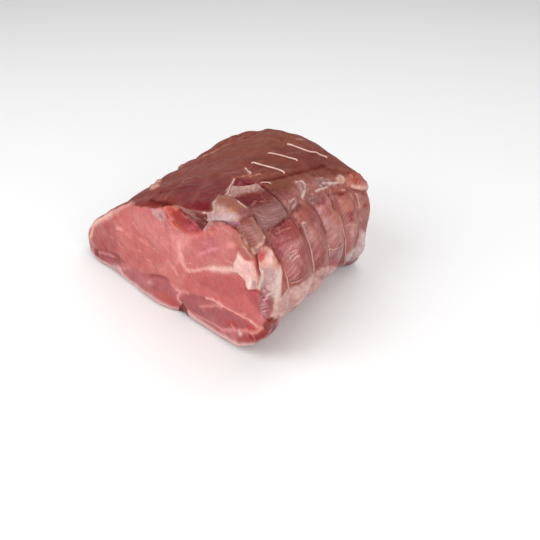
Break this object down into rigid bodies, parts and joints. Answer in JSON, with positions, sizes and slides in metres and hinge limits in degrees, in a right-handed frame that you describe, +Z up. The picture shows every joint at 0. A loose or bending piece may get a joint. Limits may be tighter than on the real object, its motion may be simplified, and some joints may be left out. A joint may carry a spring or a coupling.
{
  "type": "boneless pork collar roast",
  "caption": "Raw boneless pork collar roast tied with cotton twine, with a cut face at each end, a fat edge and lobes between the loops.",
  "frame": {"origin": "middle of the bounding box in X and Y, at the surface the roast rests on", "axes": "+X to the right across the front cut face, towards the thick side; +Y from the front cut face to the back; +Z up"},
  "size_m": [0.1838, 0.1286, 0.0838],
  "materials": {
    "raw_meat": "moist raw pork with pale fat and membrane",
    "cotton_twine": "matt twisted cotton, stained pink"
  },
  "bodies": {
    "root": {"roast": "raw_meat", "twine_loop_1": "cotton_twine", "twine_loop_2": "cotton_twine", "twine_loop_3": "cotton_twine", "twine_loop_4": "cotton_twine", "twine_loop_5": "cotton_twine", "twine_stitch_front": "cotton_twine", "twine_stitch_back": "cotton_twine", "twine_end_right": "cotton_twine", "twine_end_left": "cotton_twine", "twine_end_back": "cotton_twine"}
  },
  "joints": []
}
